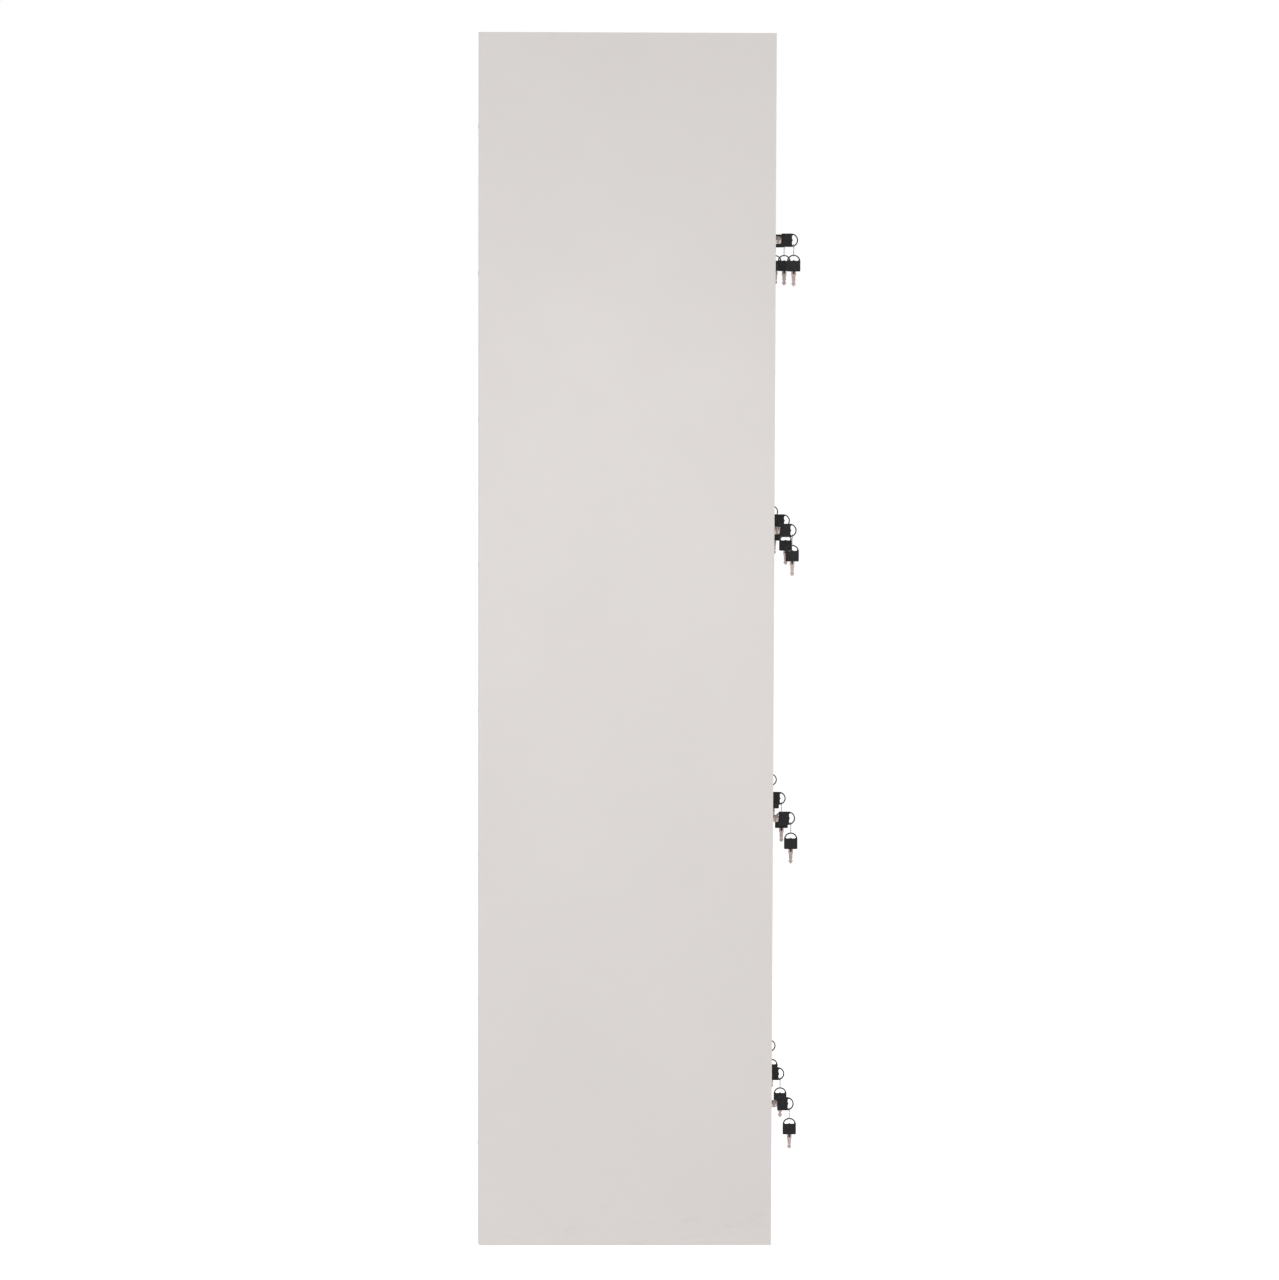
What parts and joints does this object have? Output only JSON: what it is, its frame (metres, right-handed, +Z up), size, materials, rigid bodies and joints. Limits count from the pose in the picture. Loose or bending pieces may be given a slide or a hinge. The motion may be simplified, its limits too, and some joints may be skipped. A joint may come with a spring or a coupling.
{
  "type": "parcel locker",
  "caption": "Tall free-standing steel locker with hinged compartment doors, cam locks, inserted keys and hanging spare keys.",
  "frame": {"origin": "on the floor, in the middle of the cabinet's footprint (keys not counted)", "axes": "+Z up, -Y out of the doors, +X to the viewer's right when facing the doors"},
  "size_m": [0.9, 0.4947, 1.85],
  "materials": {
    "powder_coat": "satin powder coat, light grey-white",
    "lock_metal": "nickel-plated zinc",
    "key_plastic": "moulded black key heads, nickel blades, steel ring",
    "zinc_plate": "zinc-plated steel",
    "bumper_rubber": "matte black rubber"
  },
  "bodies": {
    "cabinet": {"left_side_panel": "powder_coat", "right_side_panel": "powder_coat", "back_panel": "powder_coat", "top_panel": "powder_coat", "base_panel": "powder_coat", "base_frame": "powder_coat", "partition_1": "powder_coat", "partition_2": "powder_coat", "shelves": "powder_coat", "hinge_pivots": "zinc_plate", "rear_rivets": "zinc_plate", "door_bumpers": "bumper_rubber"},
    "door_01": {"door_01": "powder_coat"},
    "lock_01": {"lock_01": "lock_metal"},
    "key_01": {"key_01": "key_plastic"},
    "spare_key_01": {"spare_key_01": "key_plastic"},
    "door_02": {"door_02": "powder_coat"},
    "lock_02": {"lock_02": "lock_metal"},
    "key_02": {"key_02": "key_plastic"},
    "spare_key_02": {"spare_key_02": "key_plastic"},
    "door_03": {"door_03": "powder_coat"},
    "lock_03": {"lock_03": "lock_metal"},
    "key_03": {"key_03": "key_plastic"},
    "spare_key_03": {"spare_key_03": "key_plastic"},
    "door_04": {"door_04": "powder_coat"},
    "lock_04": {"lock_04": "lock_metal"},
    "key_04": {"key_04": "key_plastic"},
    "spare_key_04": {"spare_key_04": "key_plastic"},
    "door_05": {"door_05": "powder_coat"},
    "lock_05": {"lock_05": "lock_metal"},
    "key_05": {"key_05": "key_plastic"},
    "spare_key_05": {"spare_key_05": "key_plastic"},
    "door_06": {"door_06": "powder_coat"},
    "lock_06": {"lock_06": "lock_metal"},
    "key_06": {"key_06": "key_plastic"},
    "spare_key_06": {"spare_key_06": "key_plastic"},
    "door_07": {"door_07": "powder_coat"},
    "lock_07": {"lock_07": "lock_metal"},
    "key_07": {"key_07": "key_plastic"},
    "spare_key_07": {"spare_key_07": "key_plastic"},
    "door_08": {"door_08": "powder_coat"},
    "lock_08": {"lock_08": "lock_metal"},
    "key_08": {"key_08": "key_plastic"},
    "spare_key_08": {"spare_key_08": "key_plastic"},
    "door_09": {"door_09": "powder_coat"},
    "lock_09": {"lock_09": "lock_metal"},
    "key_09": {"key_09": "key_plastic"},
    "spare_key_09": {"spare_key_09": "key_plastic"},
    "door_10": {"door_10": "powder_coat"},
    "lock_10": {"lock_10": "lock_metal"},
    "key_10": {"key_10": "key_plastic"},
    "spare_key_10": {"spare_key_10": "key_plastic"},
    "door_11": {"door_11": "powder_coat"},
    "lock_11": {"lock_11": "lock_metal"},
    "key_11": {"key_11": "key_plastic"},
    "spare_key_11": {"spare_key_11": "key_plastic"},
    "door_12": {"door_12": "powder_coat"},
    "lock_12": {"lock_12": "lock_metal"},
    "key_12": {"key_12": "key_plastic"},
    "spare_key_12": {"spare_key_12": "key_plastic"}
  },
  "joints": [
    {"name": "door_01_hinge", "type": "hinge", "parent": "cabinet", "child": "door_01", "pos_m": [-0.169, -0.221, 1.59725], "axis": [0, 0, 1], "range_deg": [0, 115]},
    {"name": "door_02_hinge", "type": "hinge", "parent": "cabinet", "child": "door_02", "pos_m": [0.127, -0.221, 1.59725], "axis": [0, 0, 1], "range_deg": [0, 115]},
    {"name": "door_03_hinge", "type": "hinge", "parent": "cabinet", "child": "door_03", "pos_m": [0.423, -0.221, 1.59725], "axis": [0, 0, 1], "range_deg": [0, 115]},
    {"name": "door_04_hinge", "type": "hinge", "parent": "cabinet", "child": "door_04", "pos_m": [-0.169, -0.221, 1.15475], "axis": [0, 0, 1], "range_deg": [0, 115]},
    {"name": "door_05_hinge", "type": "hinge", "parent": "cabinet", "child": "door_05", "pos_m": [0.127, -0.221, 1.15475], "axis": [0, 0, 1], "range_deg": [0, 115]},
    {"name": "door_06_hinge", "type": "hinge", "parent": "cabinet", "child": "door_06", "pos_m": [0.423, -0.221, 1.15475], "axis": [0, 0, 1], "range_deg": [0, 115]},
    {"name": "door_07_hinge", "type": "hinge", "parent": "cabinet", "child": "door_07", "pos_m": [-0.169, -0.221, 0.71225], "axis": [0, 0, 1], "range_deg": [0, 115]},
    {"name": "door_08_hinge", "type": "hinge", "parent": "cabinet", "child": "door_08", "pos_m": [0.127, -0.221, 0.71225], "axis": [0, 0, 1], "range_deg": [0, 115]},
    {"name": "door_09_hinge", "type": "hinge", "parent": "cabinet", "child": "door_09", "pos_m": [0.423, -0.221, 0.71225], "axis": [0, 0, 1], "range_deg": [0, 115]},
    {"name": "door_10_hinge", "type": "hinge", "parent": "cabinet", "child": "door_10", "pos_m": [-0.169, -0.221, 0.26975], "axis": [0, 0, 1], "range_deg": [0, 115]},
    {"name": "door_11_hinge", "type": "hinge", "parent": "cabinet", "child": "door_11", "pos_m": [0.127, -0.221, 0.26975], "axis": [0, 0, 1], "range_deg": [0, 115]},
    {"name": "door_12_hinge", "type": "hinge", "parent": "cabinet", "child": "door_12", "pos_m": [0.423, -0.221, 0.26975], "axis": [0, 0, 1], "range_deg": [0, 115]},
    {"name": "lock_01_turn", "type": "hinge", "parent": "door_01", "child": "lock_01", "pos_m": [-0.4, -0.225, 1.5385], "axis": [0, -1, 0], "range_deg": [0, 90]},
    {"name": "lock_02_turn", "type": "hinge", "parent": "door_02", "child": "lock_02", "pos_m": [-0.104, -0.225, 1.5385], "axis": [0, -1, 0], "range_deg": [0, 90]},
    {"name": "lock_03_turn", "type": "hinge", "parent": "door_03", "child": "lock_03", "pos_m": [0.192, -0.225, 1.5385], "axis": [0, -1, 0], "range_deg": [0, 90]},
    {"name": "lock_04_turn", "type": "hinge", "parent": "door_04", "child": "lock_04", "pos_m": [-0.4, -0.225, 1.096], "axis": [0, -1, 0], "range_deg": [0, 90]},
    {"name": "lock_05_turn", "type": "hinge", "parent": "door_05", "child": "lock_05", "pos_m": [-0.104, -0.225, 1.096], "axis": [0, -1, 0], "range_deg": [0, 90]},
    {"name": "lock_06_turn", "type": "hinge", "parent": "door_06", "child": "lock_06", "pos_m": [0.192, -0.225, 1.096], "axis": [0, -1, 0], "range_deg": [0, 90]},
    {"name": "lock_07_turn", "type": "hinge", "parent": "door_07", "child": "lock_07", "pos_m": [-0.4, -0.225, 0.6535], "axis": [0, -1, 0], "range_deg": [0, 90]},
    {"name": "lock_08_turn", "type": "hinge", "parent": "door_08", "child": "lock_08", "pos_m": [-0.104, -0.225, 0.6535], "axis": [0, -1, 0], "range_deg": [0, 90]},
    {"name": "lock_09_turn", "type": "hinge", "parent": "door_09", "child": "lock_09", "pos_m": [0.192, -0.225, 0.6535], "axis": [0, -1, 0], "range_deg": [0, 90]},
    {"name": "lock_10_turn", "type": "hinge", "parent": "door_10", "child": "lock_10", "pos_m": [-0.4, -0.225, 0.211], "axis": [0, -1, 0], "range_deg": [0, 90]},
    {"name": "lock_11_turn", "type": "hinge", "parent": "door_11", "child": "lock_11", "pos_m": [-0.104, -0.225, 0.211], "axis": [0, -1, 0], "range_deg": [0, 90]},
    {"name": "lock_12_turn", "type": "hinge", "parent": "door_12", "child": "lock_12", "pos_m": [0.192, -0.225, 0.211], "axis": [0, -1, 0], "range_deg": [0, 90]},
    {"name": "key_01_pull", "type": "slide", "parent": "lock_01", "child": "key_01", "axis": [0, -1, 0], "range_m": [0, 0.025]},
    {"name": "key_02_pull", "type": "slide", "parent": "lock_02", "child": "key_02", "axis": [0, -1, 0], "range_m": [0, 0.025]},
    {"name": "key_03_pull", "type": "slide", "parent": "lock_03", "child": "key_03", "axis": [0, -1, 0], "range_m": [0, 0.025]},
    {"name": "key_04_pull", "type": "slide", "parent": "lock_04", "child": "key_04", "axis": [0, -1, 0], "range_m": [0, 0.025]},
    {"name": "key_05_pull", "type": "slide", "parent": "lock_05", "child": "key_05", "axis": [0, -1, 0], "range_m": [-0.0045, 0.0205]},
    {"name": "key_06_pull", "type": "slide", "parent": "lock_06", "child": "key_06", "axis": [0, -1, 0], "range_m": [0, 0.025]},
    {"name": "key_07_pull", "type": "slide", "parent": "lock_07", "child": "key_07", "axis": [0, -1, 0], "range_m": [0, 0.025]},
    {"name": "key_08_pull", "type": "slide", "parent": "lock_08", "child": "key_08", "axis": [0, -1, 0], "range_m": [0, 0.025]},
    {"name": "key_09_pull", "type": "slide", "parent": "lock_09", "child": "key_09", "axis": [0, -1, 0], "range_m": [0, 0.025]},
    {"name": "key_10_pull", "type": "slide", "parent": "lock_10", "child": "key_10", "axis": [0, -1, 0], "range_m": [0, 0.025]},
    {"name": "key_11_pull", "type": "slide", "parent": "lock_11", "child": "key_11", "axis": [0, -1, 0], "range_m": [0, 0.025]},
    {"name": "key_12_pull", "type": "slide", "parent": "lock_12", "child": "key_12", "axis": [0, -1, 0], "range_m": [0, 0.025]},
    {"name": "spare_key_01_swing", "type": "hinge", "parent": "key_01", "child": "spare_key_01", "pos_m": [-0.4, -0.2546, 1.52994], "axis": [0, 1, 0], "range_deg": [-35, 90]},
    {"name": "spare_key_02_swing", "type": "hinge", "parent": "key_02", "child": "spare_key_02", "pos_m": [-0.104, -0.2546, 1.52994], "axis": [0, 1, 0], "range_deg": [-35, 90]},
    {"name": "spare_key_03_swing", "type": "hinge", "parent": "key_03", "child": "spare_key_03", "pos_m": [0.192, -0.2546, 1.52994], "axis": [0, 1, 0], "range_deg": [-35, 90]},
    {"name": "spare_key_04_swing", "type": "hinge", "parent": "key_04", "child": "spare_key_04", "pos_m": [-0.4, -0.2546, 1.08744], "axis": [0, 1, 0], "range_deg": [-35, 90]},
    {"name": "spare_key_05_swing", "type": "hinge", "parent": "key_05", "child": "spare_key_05", "pos_m": [-0.104, -0.2591, 1.08744], "axis": [0, 1, 0], "range_deg": [-35, 90]},
    {"name": "spare_key_06_swing", "type": "hinge", "parent": "key_06", "child": "spare_key_06", "pos_m": [0.192, -0.2546, 1.08744], "axis": [0, 1, 0], "range_deg": [-35, 90]},
    {"name": "spare_key_07_swing", "type": "hinge", "parent": "key_07", "child": "spare_key_07", "pos_m": [-0.4, -0.2546, 0.64494], "axis": [0, 1, 0], "range_deg": [-35, 90]},
    {"name": "spare_key_08_swing", "type": "hinge", "parent": "key_08", "child": "spare_key_08", "pos_m": [-0.104, -0.2546, 0.64494], "axis": [0, 1, 0], "range_deg": [-35, 90]},
    {"name": "spare_key_09_swing", "type": "hinge", "parent": "key_09", "child": "spare_key_09", "pos_m": [0.192, -0.2546, 0.64494], "axis": [0, 1, 0], "range_deg": [-35, 90]},
    {"name": "spare_key_10_swing", "type": "hinge", "parent": "key_10", "child": "spare_key_10", "pos_m": [-0.4, -0.2546, 0.20244], "axis": [0, 1, 0], "range_deg": [-35, 90]},
    {"name": "spare_key_11_swing", "type": "hinge", "parent": "key_11", "child": "spare_key_11", "pos_m": [-0.104, -0.2546, 0.20244], "axis": [0, 1, 0], "range_deg": [-35, 90]},
    {"name": "spare_key_12_swing", "type": "hinge", "parent": "key_12", "child": "spare_key_12", "pos_m": [0.192, -0.2546, 0.20244], "axis": [0, 1, 0], "range_deg": [-35, 90]}
  ]
}
